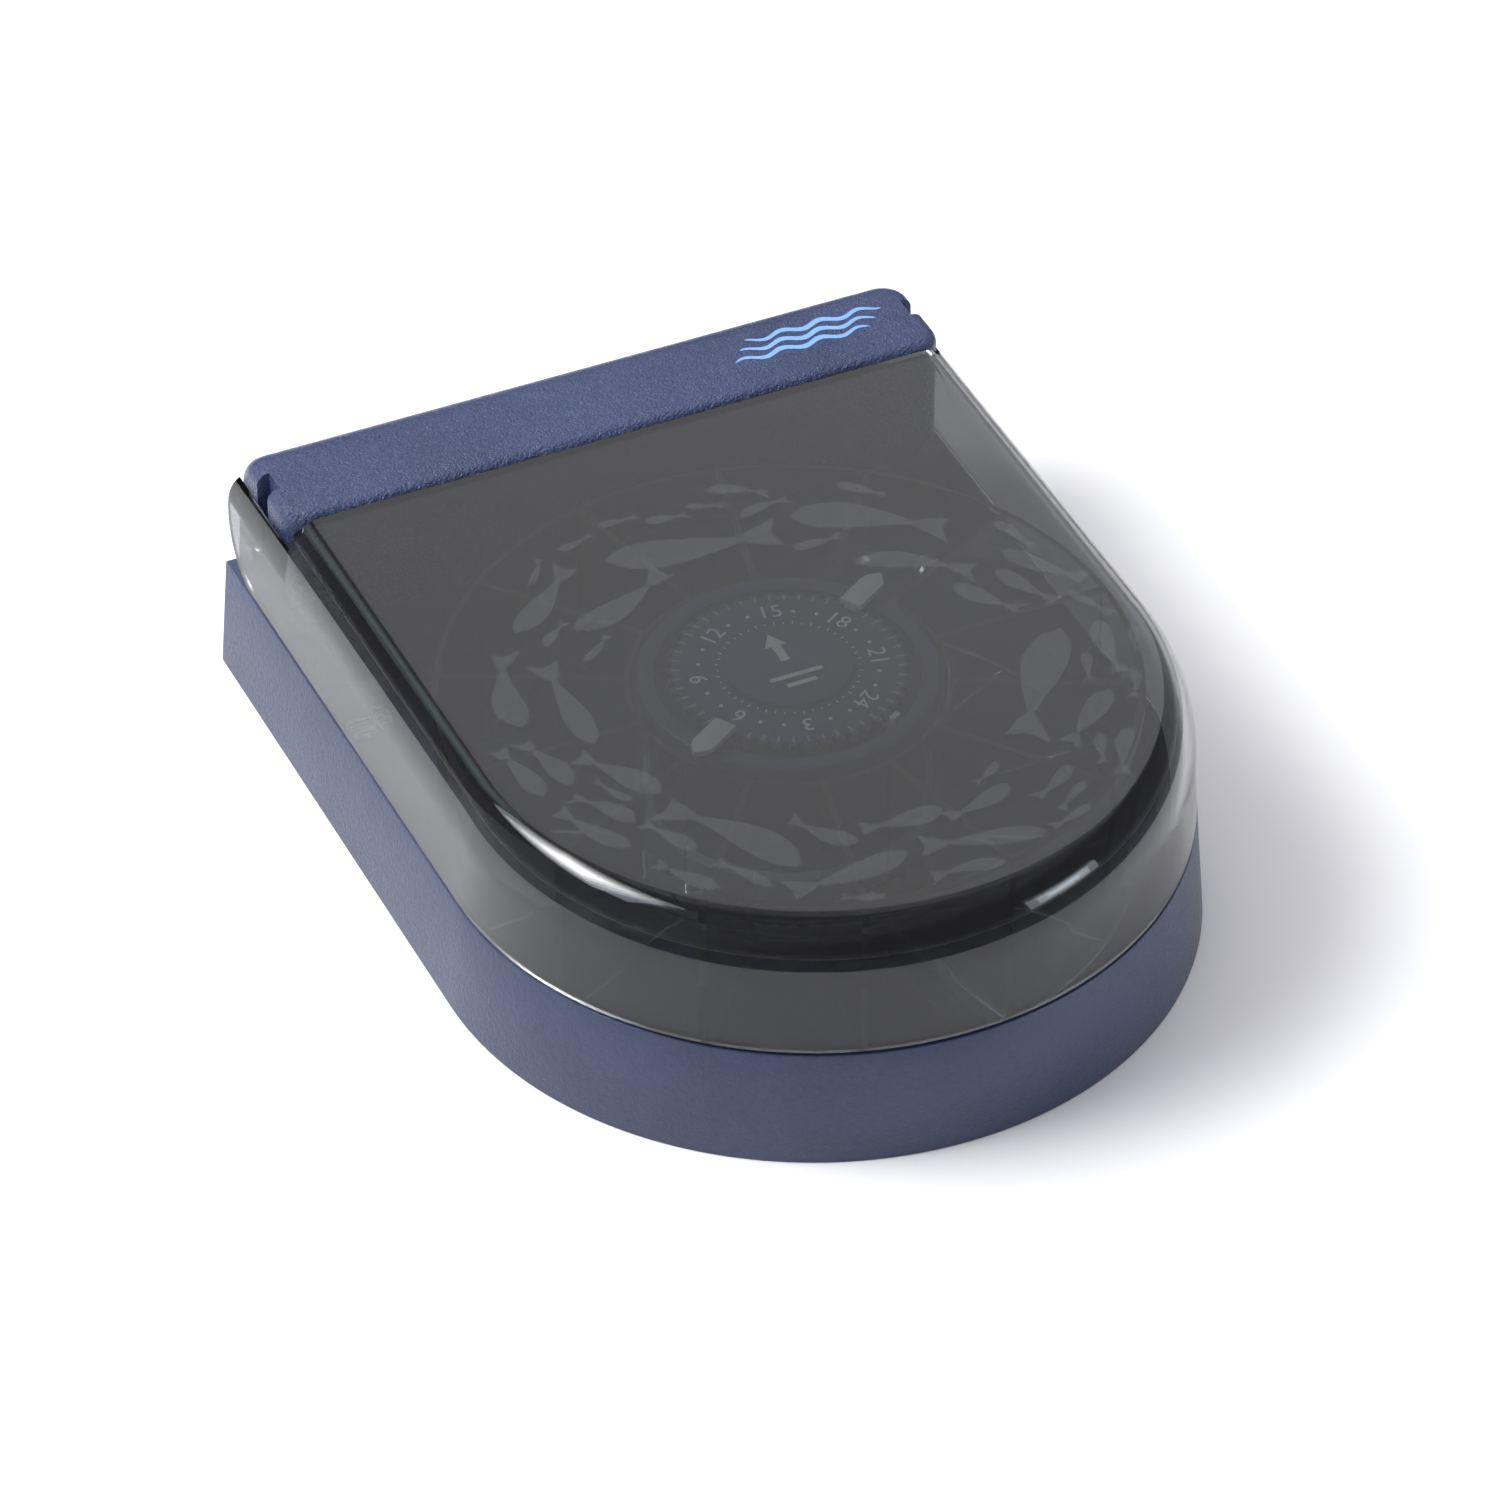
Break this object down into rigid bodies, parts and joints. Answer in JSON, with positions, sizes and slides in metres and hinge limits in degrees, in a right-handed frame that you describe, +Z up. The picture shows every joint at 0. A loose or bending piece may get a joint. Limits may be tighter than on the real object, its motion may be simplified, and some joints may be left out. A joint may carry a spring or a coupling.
{
  "type": "automatic fish feeder",
  "caption": "Aquarium fish feeder: D-shaped box with a hinged see-through lid over a dial clock and a ring of feed compartments that turns over one outlet.",
  "frame": {"origin": "on the surface it stands on, at the centre of the box's bounding box", "axes": "+Z up, +Y to the straight back with the battery housing, -Y to the round front, +X to the right seen from the front"},
  "size_m": [0.128, 0.1624, 0.045],
  "materials": {
    "blue_plastic": "satin, fine spark texture",
    "smoke_clear_plastic": "clear gloss, smoke grey",
    "clear_plastic": "clear gloss",
    "dial_plastic": "satin with white print",
    "light_grey_plastic": "satin",
    "white_acetal": "satin",
    "steel": "bright zinc",
    "circuit_board": "green lacquer",
    "battery_sleeve": null,
    "red_wire": "satin",
    "black_wire": "satin"
  },
  "bodies": {
    "housing": {"base_casing": "blue_plastic", "feed_deck": "blue_plastic", "rear_housing": "blue_plastic", "movement_can": "blue_plastic", "collar_ring": "blue_plastic", "arrow_disc": "dial_plastic", "clock_movement": "light_grey_plastic", "tray_bush": "white_acetal", "deck_screw_1": "steel", "deck_screw_2": "steel", "deck_screw_3": "steel", "deck_screw_4": "steel", "housing_screw_1": "steel", "housing_screw_2": "steel", "contact_spring": "steel", "contact_plate_positive": "steel", "contact_plate_negative": "steel", "tray_motor": "steel", "circuit_board": "circuit_board", "battery": "battery_sleeve", "wire_positive": "red_wire", "wire_negative": "black_wire"},
    "lid": {"lid": "smoke_clear_plastic"},
    "tray": {"feed_tray": "clear_plastic", "tray_gear_ring": "white_acetal"},
    "drive_pinion": {"drive_pinion": "white_acetal"},
    "idler": {"idler_gear": "white_acetal"},
    "motor_pinion": {"motor_pinion": "steel"},
    "dial": {"dial": "dial_plastic"},
    "tab_1": {"tripper_tab_1": "light_grey_plastic"},
    "tab_2": {"tripper_tab_2": "light_grey_plastic"},
    "trip_lever": {"trip_lever": "light_grey_plastic"},
    "battery_door": {"battery_door": "blue_plastic"}
  },
  "joints": [
    {"name": "lid_hinge", "type": "hinge", "parent": "housing", "child": "lid", "pos_m": [0, 0.0688, 0.033], "axis": [-1, 0, 0], "range_deg": [0, 100]},
    {"name": "tray_spin", "type": "hinge", "parent": "housing", "child": "tray", "pos_m": [0, -0.0084, 0.02], "axis": [0, 0, 1], "continuous": true},
    {"name": "drive_pinion_spin", "type": "hinge", "parent": "housing", "child": "drive_pinion", "pos_m": [0, 0.0106, 0.009], "axis": [0, 0, 1], "continuous": true},
    {"name": "idler_spin", "type": "hinge", "parent": "housing", "child": "idler", "pos_m": [0.00951, 0.00173, 0.009], "axis": [0, 0, 1], "continuous": true},
    {"name": "motor_pinion_spin", "type": "hinge", "parent": "housing", "child": "motor_pinion", "pos_m": [0.01241, -0.00991, 0.009], "axis": [0, 0, 1], "continuous": true},
    {"name": "dial_spin", "type": "hinge", "parent": "housing", "child": "dial", "pos_m": [0, -0.0084, 0.04], "axis": [0, 0, 1], "continuous": true},
    {"name": "tab_1_pull", "type": "slide", "parent": "dial", "child": "tab_1", "axis": [0.848, 0.5299, 0], "range_m": [0, 0.006]},
    {"name": "tab_2_pull", "type": "slide", "parent": "dial", "child": "tab_2", "axis": [-0.848, -0.5299, 0], "range_m": [0, 0.006]},
    {"name": "trip_lever_rock", "type": "hinge", "parent": "housing", "child": "trip_lever", "pos_m": [0.0075, -0.02139, 0.0389], "axis": [0.866, 0.5, 0], "range_deg": [0, 4], "stiffness_Nm_per_rad": 0.002},
    {"name": "battery_door_slide", "type": "slide", "parent": "housing", "child": "battery_door", "axis": [0, 1, 0], "range_m": [0, 0.012]}
  ],
  "couplings": [
    {"joint": "drive_pinion_spin", "follows": "tray_spin", "ratio": 4.8},
    {"joint": "idler_spin", "follows": "tray_spin", "ratio": -3},
    {"joint": "motor_pinion_spin", "follows": "tray_spin", "ratio": 6}
  ]
}
